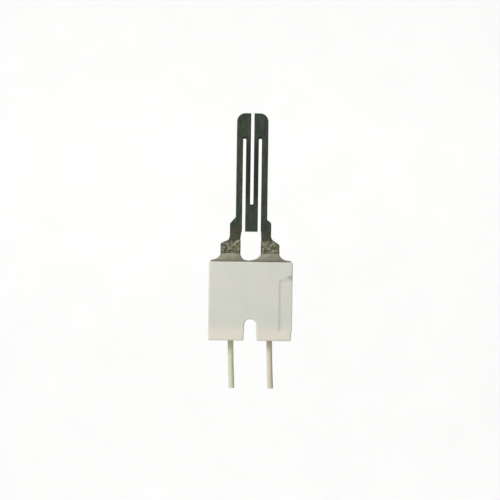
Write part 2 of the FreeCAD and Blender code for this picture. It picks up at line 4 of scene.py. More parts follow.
import bmesh
import bpy
import numpy as np
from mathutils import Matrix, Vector


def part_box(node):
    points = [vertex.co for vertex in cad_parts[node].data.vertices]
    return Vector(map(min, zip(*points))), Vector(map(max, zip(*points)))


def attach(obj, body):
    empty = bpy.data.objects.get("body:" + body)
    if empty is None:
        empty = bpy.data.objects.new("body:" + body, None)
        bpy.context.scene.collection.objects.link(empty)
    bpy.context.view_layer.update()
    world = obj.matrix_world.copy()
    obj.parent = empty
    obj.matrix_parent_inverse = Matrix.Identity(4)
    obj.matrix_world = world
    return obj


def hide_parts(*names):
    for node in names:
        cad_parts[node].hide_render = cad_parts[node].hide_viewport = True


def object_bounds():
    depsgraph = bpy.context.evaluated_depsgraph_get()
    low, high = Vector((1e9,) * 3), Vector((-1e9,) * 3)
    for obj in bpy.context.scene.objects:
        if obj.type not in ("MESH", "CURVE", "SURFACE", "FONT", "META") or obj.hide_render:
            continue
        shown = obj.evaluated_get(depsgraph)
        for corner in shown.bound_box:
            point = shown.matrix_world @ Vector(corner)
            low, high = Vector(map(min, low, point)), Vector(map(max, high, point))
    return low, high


# A hot surface igniter: a slotted silicon carbide blade in a white ceramic block, with
# two braided leads. Metres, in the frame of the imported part: +Z up, front towards -Y.

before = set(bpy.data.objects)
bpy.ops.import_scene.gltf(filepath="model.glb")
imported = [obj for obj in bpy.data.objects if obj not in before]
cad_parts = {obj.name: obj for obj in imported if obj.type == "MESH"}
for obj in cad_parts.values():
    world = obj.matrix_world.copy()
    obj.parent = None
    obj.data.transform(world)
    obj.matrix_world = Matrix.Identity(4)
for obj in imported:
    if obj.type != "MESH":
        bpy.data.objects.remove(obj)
cad_low, cad_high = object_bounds()

MM = 0.001
SIDES = {"left": -1, "right": 1}

BLOCK_LOW, BLOCK_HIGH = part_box("ceramic_block")
BLOCK_TOP = BLOCK_HIGH[2]
BLOCK_FOOT = BLOCK_LOW[2]
MIDDLE = (BLOCK_LOW[1] + BLOCK_HIGH[1]) / 2
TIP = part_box("igniter_element")[1][2]
SIDE_SLOT_X = 2.98 * MM
SIDE_SLOT_END = BLOCK_TOP + 46.7 * MM


# ---------------------------------------------------------------- camera and studio


def look_from_front():
    """A long lens square to the front of the block, turned a little about the view."""
    lens = 200.0
    sensor = 36.0
    view_width = 190 * MM
    centre_x = -0.4 * MM
    centre_z = (cad_low[2] + cad_high[2]) / 2 + 0.3 * MM
    turn = math.radians(-0.8)
    data = bpy.data.cameras.new("camera")
    data.lens = lens
    data.sensor_width = sensor
    camera = bpy.data.objects.new("camera", data)
    camera.location = (centre_x, MIDDLE - view_width * lens / sensor, centre_z)
    camera.rotation_euler = (math.radians(90), turn, 0)
    bpy.context.collection.objects.link(camera)
    bpy.context.scene.camera = camera


def add_area_light(name, place, target, size, power):
    """A soft square light that points at a target."""
    data = bpy.data.lights.new(name, "AREA")
    data.size = size
    data.energy = power
    light = bpy.data.objects.new(name, data)
    light.location = place
    direction = Vector(target) - Vector(place)
    light.rotation_euler = direction.to_track_quat("-Z", "Y").to_euler()
    bpy.context.collection.objects.link(light)


def light_studio():
    """A pale world and one soft key light from the upper left."""
    world = bpy.data.worlds.new("studio")
    bpy.context.scene.world = world
    world.use_nodes = True
    background = world.node_tree.nodes["Background"]
    background.inputs["Color"].default_value = (1.0, 1.0, 1.0, 1.0)
    background.inputs["Strength"].default_value = 0.27
    middle = (0, MIDDLE, BLOCK_TOP)
    add_area_light("key", (-0.41, -0.46, 0.355), middle, 0.3, 3.9)
    bpy.context.scene.view_settings.view_transform = "Standard"


def make_stage():
    """A white floor well below the part that curves up into a backdrop."""
    floor_z = -0.3
    back_y = 1.0
    bend = 0.4
    half = 2.5
    front_y = -2.0
    top_z = 2.2
    profile = [(front_y, floor_z)]
    for step in range(13):
        angle = math.radians(90 * step / 12)
        profile.append(
            (back_y - bend + bend * math.sin(angle), floor_z + bend * (1 - math.cos(angle)))
        )
    profile.append((back_y, top_z))
    vertices = [(side * half, y, z) for y, z in profile for side in (-1, 1)]
    faces = [(2 * i, 2 * i + 1, 2 * i + 3, 2 * i + 2) for i in range(len(profile) - 1)]
    mesh = bpy.data.meshes.new("backdrop")
    mesh.from_pydata(vertices, [], faces)
    mesh.polygons.foreach_set("use_smooth", [True] * len(faces))
    backdrop = bpy.data.objects.new("backdrop", mesh)
    bpy.context.collection.objects.link(backdrop)
    paper = Surface("backdrop_paper", roughness=0.9)
    tone = paper.noise(40 * MM, detail=2)
    paper.colour(paper.ramp(tone, [(0.3, (0.86, 0.86, 0.85)), (0.7, (0.9, 0.9, 0.89))]))
    paper.shader.inputs["Emission Color"].default_value = (1, 1, 1, 1)
    behind = paper.step(paper.axis("Y"), 0.3, 0.7)
    near = paper.step(paper.calc("ABSOLUTE", paper.axis("X")), 0.35, 0.7, 0.51, 0.1)
    glow = paper.calc("MULTIPLY", behind, near)
    paper.feed(paper.shader.inputs["Emission Strength"], glow)
    mesh.materials.append(paper.material)


# ---------------------------------------------------------------- procedural materials


class Surface:
    """A procedural material on one Principled shader, in the part's own coordinates."""

    def __init__(self, name, roughness=0.6, metallic=0.0):
        self.material = bpy.data.materials.new(name)
        self.material.use_nodes = True
        self.tree = self.material.node_tree
        self.shader = self.tree.nodes["Principled BSDF"]
        self.shader.inputs["Roughness"].default_value = roughness
        self.shader.inputs["Metallic"].default_value = metallic
        self.place = self.add("ShaderNodeTexCoord").outputs["Object"]

    def add(self, kind, **settings):
        node = self.tree.nodes.new(kind)
        for name, value in settings.items():
            setattr(node, name, value)
        return node

    def feed(self, socket, value):
        """Set a socket to a number or colour, or link it to another socket."""
        if isinstance(value, bpy.types.NodeSocket):
            self.tree.links.new(value, socket)
        elif hasattr(value, "__len__") and len(value) == 3 and socket.type == "RGBA":
            socket.default_value = (*value, 1.0)
        else:
            socket.default_value = value

    def stretched(self, x=1.0, y=1.0, z=1.0):
        """The part's coordinates, stretched along its axes."""
        node = self.add("ShaderNodeMapping")
        self.feed(node.inputs["Vector"], self.place)
        node.inputs["Scale"].default_value = (1 / x, 1 / y, 1 / z)
        return node.outputs["Vector"]

    def noise(self, size, detail=3.0, rough=0.55, place=None):
        """Soft noise whose features are about one size across."""
        node = self.add("ShaderNodeTexNoise")
        self.feed(node.inputs["Vector"], place or self.place)
        node.inputs["Scale"].default_value = 1 / size
        node.inputs["Detail"].default_value = detail
        node.inputs["Roughness"].default_value = rough
        return node.outputs["Fac"]

    def grains(self, size, feature="F1"):
        """Distance to scattered points about one size apart."""
        node = self.add("ShaderNodeTexVoronoi", feature=feature)
        self.feed(node.inputs["Vector"], self.place)
        node.inputs["Scale"].default_value = 1 / size
        return node.outputs["Distance"]

    def axis(self, letter):
        """One of the part's coordinates, in metres."""
        node = self.add("ShaderNodeSeparateXYZ")
        self.feed(node.inputs[0], self.place)
        return node.outputs[letter]

    def painted(self, name):
        """A value stored on the mesh's points."""
        return self.add("ShaderNodeAttribute", attribute_name=name).outputs["Fac"]

    def step(self, value, low, high, start=0.0, end=1.0):
        """A smooth change from start to end as the value goes from low to high."""
        node = self.add("ShaderNodeMapRange", interpolation_type="SMOOTHSTEP")
        self.feed(node.inputs["Value"], value)
        for name, number in (
            ("From Min", low),
            ("From Max", high),
            ("To Min", start),
            ("To Max", end),
        ):
            node.inputs[name].default_value = number
        return node.outputs["Result"]

    def calc(self, operation, first, second=0.0):
        node = self.add("ShaderNodeMath", operation=operation)
        self.feed(node.inputs[0], first)
        self.feed(node.inputs[1], second)
        return node.outputs["Value"]

    def ramp(self, value, stops):
        """A colour that changes with a value, from (position, colour) stops."""
        node = self.add("ShaderNodeValToRGB")
        self.feed(node.inputs["Fac"], value)
        elements = node.color_ramp.elements
        while len(elements) < len(stops):
            elements.new(0.5)
        for element, (position, colour) in zip(elements, stops):
            element.position = position
            element.color = (*colour, 1.0)
        return node.outputs["Color"]

    def mix(self, share, first, second, blend="MIX"):
        """Two colours mixed by a share from 0 to 1."""
        node = self.add("ShaderNodeMix", data_type="RGBA", blend_type=blend)
        self.feed(node.inputs["Factor"], share)
        self.feed(node.inputs[6], first)
        self.feed(node.inputs[7], second)
        return node.outputs[2]

    def colour(self, value):
        self.feed(self.shader.inputs["Base Color"], value)

    def roughness(self, value):
        self.feed(self.shader.inputs["Roughness"], value)

    def relief(self, layers):
        """Bump from several (height, depth in metres) layers, one on top of another."""
        normal = None
        for height, depth in layers:
            node = self.add("ShaderNodeBump")
            node.inputs["Strength"].default_value = 1.0
            node.inputs["Distance"].default_value = depth
            self.feed(node.inputs["Height"], height)
            if normal is not None:
                self.feed(node.inputs["Normal"], normal)
            normal = node.outputs["Normal"]
        self.feed(self.shader.inputs["Normal"], normal)


def steatite():
    """Unglazed pressed ceramic: chalky white, faint blotches, specks and worn edges."""
    skin = Surface("steatite")
    broad = skin.noise(9 * MM, detail=2)
    body = skin.ramp(
        broad,
        [(0.32, (0.745, 0.75, 0.655)), (0.5, (0.76, 0.765, 0.672)), (0.7, (0.785, 0.77, 0.685))],
    )
    fine = skin.noise(0.5 * MM, detail=4, rough=0.65)
    body = skin.mix(skin.step(fine, 0.4, 0.75, 0.0, 0.35), body, (0.66, 0.655, 0.575))
    specks = skin.step(skin.grains(1.4 * MM), 0.05, 0.1, 1.0, 0.0)
    some = skin.step(skin.noise(3 * MM, detail=1), 0.52, 0.6)
    body = skin.mix(skin.calc("MULTIPLY", specks, some), body, (0.4, 0.36, 0.28))
    edge = skin.painted("edge")
    rubbed = skin.calc("MULTIPLY", skin.step(edge, 0.15, 0.6), skin.step(fine, 0.35, 0.6))
    body = skin.mix(skin.calc("MULTIPLY", rubbed, 0.6), body, (0.85, 0.85, 0.79))
    # Painted shade: darker where the surface turns inwards, in creases and inner corners.
    crease_shade = skin.step(edge, -0.2, -0.6, 0.0, 0.15)
    body = skin.mix(crease_shade, body, (0.47, 0.45, 0.37))
    handled = skin.step(skin.axis("Z"), BLOCK_FOOT + 2 * MM, BLOCK_FOOT + 7 * MM, 0.7, 0.0)
    body = skin.mix(handled, body, (0.9, 0.835, 0.715))
    skin.colour(body)
    skin.roughness(skin.step(fine, 0.3, 0.7, 0.55, 0.8))
    skin.relief([(skin.noise(0.22 * MM, detail=4, rough=0.7), 0.05 * MM), (fine, 0.08 * MM)])
    skin.shader.inputs["Specular IOR Level"].default_value = 0.35
    return skin.material


def silicon_carbide():
    """Dark recrystallised silicon carbide with a fine sparkle; darker on the two inner strips."""
    skin = Surface("silicon_carbide")
    grain = skin.noise(0.16 * MM, detail=4, rough=0.7)
    base = skin.ramp(
        grain,
        [(0.3, (0.017, 0.026, 0.016)), (0.52, (0.032, 0.047, 0.03)), (0.75, (0.06, 0.081, 0.056))],
    )
    cast = skin.noise(5 * MM, detail=2, place=skin.stretched(1, 1, 2.5))
    base = skin.mix(skin.step(cast, 0.5, 0.66, 0.0, 0.6), base, (0.02, 0.055, 0.032))
    base = skin.mix(skin.step(cast, 0.47, 0.34, 0.0, 0.65), base, (0.06, 0.053, 0.034))
    streak = skin.noise(1.1 * MM, detail=4, rough=0.6, place=skin.stretched(1, 1, 4))
    base = skin.mix(skin.step(streak, 0.5, 0.68, 0.0, 0.6), base, (0.075, 0.08, 0.064))
    base = skin.mix(skin.step(streak, 0.46, 0.33, 0.0, 0.6), base, (0.015, 0.019, 0.013))
    height = skin.axis("Z")
    leg = skin.calc(
        "MULTIPLY",
        skin.step(height, BLOCK_TOP + 26 * MM, BLOCK_TOP + 19 * MM),
        skin.step(height, BLOCK_TOP + 12.5 * MM, BLOCK_TOP + 16 * MM),
    )
    left_tint = skin.mix(leg, (1.13, 1.06, 0.94), (0.88, 1.2, 0.97))
    right_tint = skin.mix(leg, (1.14, 0.92, 1.03), (1.17, 1.05, 1.2))
    for tint, sign in ((left_tint, -1), (right_tint, 1)):
        share = skin.step(skin.axis("X"), sign * 2.6 * MM, sign * 4.2 * MM)
        base = skin.mix(share, base, skin.mix(1.0, base, tint, "MULTIPLY"))
    # Darker over the middle length of the two inner strips, between the side slots.
    strip = skin.step(skin.calc("ABSOLUTE", skin.axis("X")), 2.2 * MM, 3.2 * MM, 1.0, 0.0)
    above = skin.step(height, BLOCK_TOP + 20 * MM, BLOCK_TOP + 27 * MM)
    below = skin.step(height, BLOCK_TOP + 43 * MM, BLOCK_TOP + 48 * MM, 1.0, 0.0)
    darker_inner_strips = skin.calc("MULTIPLY", strip, skin.calc("MULTIPLY", above, below))
    base = skin.mix(skin.calc("MULTIPLY", darker_inner_strips, 0.8), base, (0.008, 0.013, 0.008))
    sparkle = skin.step(skin.grains(0.28 * MM), 0.0, 0.22, 1.0, 0.0)
    base = skin.mix(skin.calc("MULTIPLY", sparkle, 0.3), base, (0.1, 0.12, 0.1))
    edge = skin.step(skin.painted("edge"), 0.15, 0.5, 0.0, 0.2)
    base = skin.mix(edge, base, (0.02, 0.023, 0.018))
    # Painted shade at the top ends of the two side slots, where the sloped ends face down.
    beside = skin.calc("SUBTRACT", skin.calc("ABSOLUTE", skin.axis("X")), SIDE_SLOT_X)
    above = skin.calc("SUBTRACT", height, SIDE_SLOT_END)
    slot_end_shade = skin.calc(
        "MULTIPLY",
        skin.step(skin.calc("ABSOLUTE", beside), 0.55 * MM, 0.85 * MM, 1.0, 0.0),
        skin.step(skin.calc("ABSOLUTE", above), 0.55 * MM, 0.95 * MM, 1.0, 0.0),
    )
    base = skin.mix(slot_end_shade, base, (0.001, 0.001, 0.001))
    overspray = skin.noise(0.75 * MM, detail=4, rough=0.7)
    low = skin.step(height, BLOCK_TOP + 9.5 * MM, BLOCK_TOP + 14.5 * MM, 0.85, 0.0)
    dusted = skin.calc("MULTIPLY", low, skin.step(overspray, 0.4, 0.62))
    base = skin.mix(dusted, base, (0.094, 0.086, 0.046))
    skin.colour(base)
    skin.roughness(skin.ramp(grain, [(0.3, (0.66,) * 3), (0.7, (0.42,) * 3)]))
    skin.relief([(grain, 0.045 * MM), (streak, 0.03 * MM), (dusted, 0.04 * MM)])
    skin.shader.inputs["Specular IOR Level"].default_value = 0.35
    return skin.material


def sprayed_metal():
    """Arc sprayed metal: lumpy, dull olive grey, with painted highlights on its crests and painted
    shade in its hollows.
    """
    skin = Surface("sprayed_metal", metallic=0.2)
    lumps = skin.noise(1.3 * MM, detail=5, rough=0.75)
    # The colour follows the same lumps as the relief: painted shade in the hollows, painted
    # highlight on the crests.
    base = skin.ramp(
        lumps,
        [
            (0.4, (0.015, 0.014, 0.009)),
            (0.455, (0.075, 0.073, 0.043)),
            (0.505, (0.19, 0.187, 0.122)),
            (0.545, (0.285, 0.282, 0.192)),
            (0.61, (0.5, 0.49, 0.37)),
        ],
    )
    warm = skin.noise(2.2 * MM, detail=2)
    base = skin.mix(skin.step(warm, 0.42, 0.62, 0.0, 0.5), base, (0.17, 0.155, 0.075))
    # Scattered small dark spots.
    dark_spots = skin.step(skin.grains(0.9 * MM), 0.12, 0.3, 1.0, 0.0)
    base = skin.mix(skin.calc("MULTIPLY", dark_spots, 0.8), base, (0.015, 0.015, 0.01))
    fleck = skin.step(skin.grains(0.35 * MM), 0.0, 0.25, 1.0, 0.0)
    base = skin.mix(skin.calc("MULTIPLY", fleck, 0.35), base, (0.42, 0.41, 0.33))
    # Painted shade: a dark band along the coat's two sides, where its surface turns away.
    edge = skin.step(skin.painted("edge"), 0.1, 0.9, 0.0, 0.75)
    base = skin.mix(edge, base, (0.035, 0.035, 0.024))
    skin.colour(base)
    skin.roughness(skin.step(lumps, 0.3, 0.7, 0.75, 0.45))
    skin.relief([(lumps, 0.2 * MM), (skin.noise(0.14 * MM, detail=3), 0.05 * MM)])
    return skin.material


def refractory_cement():
    """Fine grey cement: smooth, faintly mottled, with pin holes in painted shade, painted shade at
    its foot and a painted highlight along its crests.
    """
    skin = Surface("refractory_cement")
    broad = skin.noise(2.6 * MM, detail=3)
    base = skin.ramp(
        broad,
        [(0.3, (0.26, 0.252, 0.18)), (0.5, (0.32, 0.315, 0.232)), (0.72, (0.38, 0.375, 0.29))],
    )
    fine = skin.noise(0.25 * MM, detail=4, rough=0.65)
    base = skin.mix(skin.step(fine, 0.42, 0.7, 0.0, 0.4), base, (0.2, 0.19, 0.135))
    # Pin holes: painted shade darkens each hole, and the relief dents it a little.
    holes = skin.step(skin.grains(0.9 * MM), 0.04, 0.1, 1.0, 0.0)
    base = skin.mix(skin.calc("MULTIPLY", holes, 0.7), base, (0.08, 0.075, 0.055))
    height = skin.axis("Z")
    # Painted shade: darker low down, where the cement meets the block.
    foot = skin.step(height, BLOCK_TOP + 0.3 * MM, BLOCK_TOP + 1.0 * MM, 0.5, 0.0)
    base = skin.mix(foot, base, (0.13, 0.125, 0.085))
    # Painted highlight along the tops of the collars.
    crest = skin.step(height, BLOCK_TOP + 1.9 * MM, BLOCK_TOP + 2.6 * MM, 0.0, 0.35)
    base = skin.mix(crest, base, (0.4, 0.39, 0.31))
    skin.colour(base)
    skin.roughness(skin.step(fine, 0.3, 0.7, 0.6, 0.85))
    skin.relief([(fine, 0.04 * MM), (skin.calc("MULTIPLY", holes, -1.0), 0.06 * MM)])
    skin.shader.inputs["Specular IOR Level"].default_value = 0.3
    return skin.material


def glass_braid():
    """Cream glass yarn under a thin varnish: fibre streaks, painted shade in the gaps between
    yarns.
    """
    skin = Surface("glass_braid")
    fibre = skin.noise(0.12 * MM, detail=3, place=skin.stretched(1, 1, 6))
    base = skin.ramp(
        fibre,
        [(0.3, (0.53, 0.525, 0.39)), (0.55, (0.67, 0.665, 0.52)), (0.75, (0.75, 0.745, 0.6))],
    )
    weave = skin.painted("weave")
    # Painted shade where the weave is low, in the gaps between yarns.
    base = skin.mix(skin.step(weave, 0.55, 0.1, 0.0, 0.55), base, (0.36, 0.32, 0.2))
    stain = skin.noise(3.5 * MM, detail=2)
    base = skin.mix(skin.step(stain, 0.48, 0.66, 0.0, 0.5), base, (0.7, 0.62, 0.5))
    rightward = skin.step(skin.axis("X"), -2 * MM, 2 * MM)
    tint = skin.mix(rightward, (1.09, 1.16, 1.08), (1.15, 1.06, 1.09))
    base = skin.mix(1.0, base, tint, "MULTIPLY")
    skin.colour(base)
    skin.roughness(skin.step(fibre, 0.3, 0.7, 0.6, 0.4))
    skin.relief([(fibre, 0.02 * MM)])
    skin.shader.inputs["Sheen Weight"].default_value = 0.15
    return skin.material


def silicone():
    """The insulation under the braid: pale, matt and slightly mottled."""
    skin = Surface("lead_insulation", roughness=0.7)
    mottle = skin.noise(0.3 * MM, detail=3)
    skin.colour(skin.ramp(mottle, [(0.3, (0.55, 0.5, 0.4)), (0.7, (0.68, 0.63, 0.53))]))
    skin.roughness(skin.step(mottle, 0.3, 0.7, 0.6, 0.8))
    skin.relief([(mottle, 0.015 * MM)])
    return skin.material


def plated_metal(name, dark, light, rough_low, rough_high):
    """Plated sheet or wire: drawn lines along its length and small tarnished spots."""
    skin = Surface(name, metallic=1.0)
    lines = skin.noise(0.08 * MM, detail=3, place=skin.stretched(1, 1, 12))
    base = skin.ramp(lines, [(0.3, dark), (0.7, light)])
    spots = skin.step(skin.noise(0.6 * MM, detail=3), 0.55, 0.7, 0.0, 0.6)
    base = skin.mix(spots, base, tuple(0.5 * part for part in dark))
    skin.colour(base)
    skin.roughness(skin.step(lines, 0.3, 0.7, rough_low, rough_high))
    skin.relief([(lines, 0.008 * MM)])
    return skin.material


# ---------------------------------------------------------------- noise and mesh helpers


def lattice(cells, seed):
    """A fixed random number from -1 to 1 for each whole-number cell."""
    x, y, z = (cells[:, i].astype(np.int64) for i in range(3))
    mixed = (x * 73856093) ^ (y * 19349663) ^ (z * 83492791) ^ (seed * 2654435761)
    mixed = (mixed ^ (mixed >> 13)) * 1274126177
    mixed = mixed ^ (mixed >> 16)
    return (mixed & 0xFFFF) / 32767.5 - 1


def bumps(points, size, seed):
    """Smooth noise from -1 to 1 with features one size across, at each point."""
    scaled = points / size
    cell = np.floor(scaled)
    part = scaled - cell
    part = part * part * (3 - 2 * part)
    total = np.zeros(len(points))
    for corner in itertools.product((0, 1), repeat=3):
        corner = np.array(corner)
        weight = np.prod(np.where(corner == 1, part, 1 - part), axis=1)
        total += weight * lattice(cell + corner, seed)
    return total


def layered(points, size, seed, layers=3):
    """Several sizes of smooth noise added together, each half the size before it."""
    total = np.zeros(len(points))
    for layer in range(layers):
        total += bumps(points, size / 2**layer, seed + layer) / 2**layer
    return total


def points_of(mesh):
    flat = np.empty(len(mesh.vertices) * 3)
    mesh.vertices.foreach_get("co", flat)
    return flat.reshape(-1, 3)


def move_points(mesh, points):
    mesh.vertices.foreach_set("co", points.ravel())
    mesh.update()


def normals_of(mesh):
    flat = np.empty(len(mesh.vertices) * 3)
    mesh.vertex_normals.foreach_get("vector", flat)
    return flat.reshape(-1, 3)


def store(mesh, name, values):
    """Keep one number for each point, for the materials to read."""
    layer = mesh.attributes.new(name, "FLOAT", "POINT")
    layer.data.foreach_set("value", np.asarray(values, dtype=np.float32))


def edge_share(mesh, smoothing=3):
    """How sharply the surface turns at each point: above 0 outwards, below 0 inwards."""
    pairs = np.empty(len(mesh.edges) * 2, dtype=np.int32)
    mesh.edges.foreach_get("vertices", pairs)
    first, second = pairs.reshape(-1, 2).T
    points = points_of(mesh)
    normals = normals_of(mesh)
    along = points[second] - points[first]
    along /= np.maximum(np.linalg.norm(along, axis=1, keepdims=True), 1e-12)
    count = len(points)
    degree = np.bincount(first, minlength=count) + np.bincount(second, minlength=count)
    degree = np.maximum(degree, 1)
    drop = -np.einsum("ij,ij->i", normals[first], along)
    rise = np.einsum("ij,ij->i", normals[second], along)
    turn = np.bincount(first, drop, count) + np.bincount(second, rise, count)
    turn /= degree
    for _ in range(smoothing):
        around = np.bincount(first, turn[second], count)
        around += np.bincount(second, turn[first], count)
        turn = (turn + around / degree) / 2
    return turn * 2**smoothing / 2


def new_piece(name, mesh, material):
    """A shown object that rides on the part's one body."""
    piece = bpy.data.objects.new(name, mesh)
    bpy.context.collection.objects.link(piece)
    mesh.materials.clear()
    mesh.materials.append(material)
    mesh.polygons.foreach_set("use_smooth", [True] * len(mesh.polygons))
    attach(piece, "root")
    return piece


def node_mesh(node, voxel):
    """A copy of a CAD node's mesh, remade as an even skin of small faces."""
    mesh = bpy.data.meshes.new_from_object(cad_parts[node])
    welded = bmesh.new()
    welded.from_mesh(mesh)
    bmesh.ops.remove_doubles(welded, verts=welded.verts, dist=1e-6)
    welded.to_mesh(mesh)
    welded.free()
    scratch = bpy.data.objects.new("scratch", mesh)
    bpy.context.collection.objects.link(scratch)
    remesh = scratch.modifiers.new("remesh", "REMESH")
    remesh.mode = "VOXEL"
    remesh.voxel_size = voxel
    remesh.adaptivity = 0.0
    graph = bpy.context.evaluated_depsgraph_get()
    even = bpy.data.meshes.new_from_object(scratch.evaluated_get(graph))
    bpy.data.objects.remove(scratch)
    bpy.data.meshes.remove(mesh)
    return even


def grid_faces(rows, columns, start=0, wrap=True, flip=False):
    """Quads between rows of points; wrap joins each row's last point to its first."""
    faces = []
    for row in range(rows - 1):
        for column in range(columns if wrap else columns - 1):
            following = (column + 1) % columns
            a = start + row * columns + column
            b = start + row * columns + following
            face = (a, b, b + columns, a + columns)
            faces.append(face[::-1] if flip else face)
    return faces


# ---------------------------------------------------------------- leads

LEAD_SPACING = 14.7 * MM
BRAID_RADIUS = 1.085 * MM
INSULATION_RADIUS = 0.87 * MM
CONDUCTOR_RADIUS = 0.6 * MM
BRAID_START = 17.6 * MM
INSULATION_START = 17.2 * MM
CONDUCTOR_START = 13.4 * MM

# Each lead's centreline below the block's top: sideways drift, then depth.
LEAD_ROUTE = [(0.0, 17.2 * MM), (0.0, 27.4 * MM), (0.19 * MM, 38.3 * MM), (0.66 * MM, 48.05 * MM)]


def lead_line(side):
    """Closely spaced points along one lead, read from its smooth spline."""
    data = bpy.data.curves.new("lead_route", "CURVE")
    data.dimensions = "3D"
    data.resolution_u = 160
    spline = data.splines.new("NURBS")
    spline.points.add(len(LEAD_ROUTE) - 1)
    for point, (drift, depth) in zip(spline.points, LEAD_ROUTE):
        across = SIDES[side] * LEAD_SPACING / 2 + drift
        point.co = (across, MIDDLE, BLOCK_TOP - depth, 1.0)
    spline.order_u = 3
    spline.use_endpoint_u = True
    route = bpy.data.objects.new("lead_route", data)
    bpy.context.collection.objects.link(route)
    graph = bpy.context.evaluated_depsgraph_get()
    mesh = bpy.data.meshes.new_from_object(route.evaluated_get(graph))
    line = points_of(mesh)
    bpy.data.objects.remove(route)
    bpy.data.meshes.remove(mesh)
    return line


def line_from(line, start):
    """The part of a lead's line below a depth, carried straight up if it starts higher."""
    top = BLOCK_TOP - start
    below = line[line[:, 2] < top]
    first = np.array([[below[0, 0], below[0, 1], top]])
    return np.concatenate([first, below])


def along_line(line):
    """Distance along a line at each of its points."""
    steps = np.linalg.norm(np.diff(line, axis=0), axis=1)
    return np.concatenate([[0], np.cumsum(steps)])


def tube_rings(line, radii, around, turn=0.0):
    """Rings of points round a nearly straight line; radii has a row for each ring."""
    tangent = np.gradient(line, axis=0)
    tangent /= np.linalg.norm(tangent, axis=1, keepdims=True)
    side = np.cross(tangent, [0, 1, 0])
    side /= np.linalg.norm(side, axis=1, keepdims=True)
    front = np.cross(tangent, side)
    angle = np.linspace(0, 2 * math.pi, around, endpoint=False) + turn
    round_x = np.cos(angle)[None, :, None]
    round_y = np.sin(angle)[None, :, None]
    rings = line[:, None] + radii[..., None] * (round_x * side[:, None] + round_y * front[:, None])
    return rings.reshape(-1, 3)


def make_braid(side, line, material):
    """The woven sleeve: two sets of yarns that pass over and under each other."""
    around = 96
    yarns = 12
    pitch = 9.5 * MM
    relief = 0.06 * MM
    along = along_line(line)
    angle = np.linspace(0, 1, around, endpoint=False)
    right = yarns * (angle[None, :] + along[:, None] / pitch)
    left = yarns * (angle[None, :] - along[:, None] / pitch)
    over = (np.floor(right) + np.floor(left)) % 2 == 0
    right_part = right - np.floor(right)
    left_part = left - np.floor(left)
    right_crown = np.sqrt(np.sin(math.pi * right_part))
    left_crown = np.sqrt(np.sin(math.pi * left_part))
    lift = 0.3
    right_height = right_crown * np.where(over, 1 - lift + lift * left_crown, 1 - lift)
    left_height = left_crown * np.where(over, 1 - lift, 1 - lift + lift * right_crown)
    weave = np.maximum(right_height, left_height)
    radii = BRAID_RADIUS - 0.7 * relief + relief * weave
    rings = len(line)
    outer = tube_rings(line, radii, around)
    frayed = bumps(outer[-around:], 0.25 * MM, 5)
    outer[-around:, 2] += 0.09 * MM * np.abs(frayed)
    outer[-around:] += (outer[-around:] - line[-1]) * np.array([0.05, 0.05, 0])
    inner = tube_rings(line, np.full((rings, around), INSULATION_RADIUS), around)
    faces = grid_faces(rings, around)
    faces += grid_faces(rings, around, start=rings * around, flip=True)
    inside = rings * around
    last = (rings - 1) * around
    for i in range(around):
        j = (i + 1) % around
        faces.append((j, i, inside + i, inside + j))
        faces.append((last + i, last + j, inside + last + j, inside + last + i))
    mesh = bpy.data.meshes.new(f"lead_{side}")
    mesh.from_pydata(np.concatenate([outer, inner]).tolist(), [], faces)
    # The weave height, which the braid's material also darkens as painted shade in the gaps.
    store(mesh, "weave", np.concatenate([weave.ravel(), np.zeros(inside)]))
    piece = new_piece(f"lead_{side}", mesh, material)
    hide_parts(f"lead_braid_{side}")
    return piece


def make_insulation(side, line, material):
    """The plain tube under the braid, a little uneven where it was cut."""
    around = 48
    rings = len(line)
    uneven = bumps(line, 1.2 * MM, 21)[:, None] * 0.004 * MM
    outer = tube_rings(line, np.full((rings, around), INSULATION_RADIUS) + uneven, around)
    inner = tube_rings(line, np.full((rings, around), CONDUCTOR_RADIUS * 1.02), around)
    faces = grid_faces(rings, around)
    faces += grid_faces(rings, around, start=rings * around, flip=True)
    inside = rings * around
    last = (rings - 1) * around
    for i in range(around):
        j = (i + 1) % around
        faces.append((j, i, inside + i, inside + j))
        faces.append((last + i, last + j, inside + last + j, inside + last + i))
    mesh = bpy.data.meshes.new(f"lead_core_{side}")
    mesh.from_pydata(np.concatenate([outer, inner]).tolist(), [], faces)
    piece = new_piece(f"lead_core_{side}", mesh, material)
    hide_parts(f"lead_insulation_{side}")
    return piece


def make_conductor(side, line, material):
    """Nineteen twisted strands: one in the middle, six round it and twelve outside."""
    around = 10
    lay = 14 * MM
    strand = CONDUCTOR_RADIUS / 5
    line = line[::4] if len(line) % 4 == 1 else np.concatenate([line[::4], line[-1:]])
    along = along_line(line)
    vertices = []
    faces = []
    for count, reach in ((1, 0.0), (6, 2 * strand), (12, 3.9 * strand)):
        for number in range(count):
            angle = 2 * math.pi * (number / count + along / lay)
            strand_line = line.copy()
            strand_line[:, 0] += reach * np.cos(angle)
            strand_line[:, 1] += reach * np.sin(angle)
            radii = np.full((len(line), around), strand * 0.98)
            start = len(vertices)
            vertices += tube_rings(strand_line, radii, around).tolist()
            faces += grid_faces(len(line), around, start=start)
            faces.append(tuple(start + i for i in reversed(range(around))))
            last = start + (len(line) - 1) * around
            faces.append(tuple(last + i for i in range(around)))
    mesh = bpy.data.meshes.new(f"lead_strands_{side}")
    mesh.from_pydata(vertices, [], faces)
    piece = new_piece(f"lead_strands_{side}", mesh, material)
    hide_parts(f"lead_conductor_{side}")
    return piece


def make_leads(braid, insulation, wire):
    """Both leads, each with its insulation and strands."""
    for side, sign in SIDES.items():
        line = lead_line(side)
        core = make_insulation(side, line_from(line, INSULATION_START), insulation)
        strands = make_conductor(side, line_from(line, CONDUCTOR_START), wire)
        sleeve_line = line_from(line, BRAID_START)
        sleeve = make_braid(side, sleeve_line, braid)


# ---------------------------------------------------------------- block and element


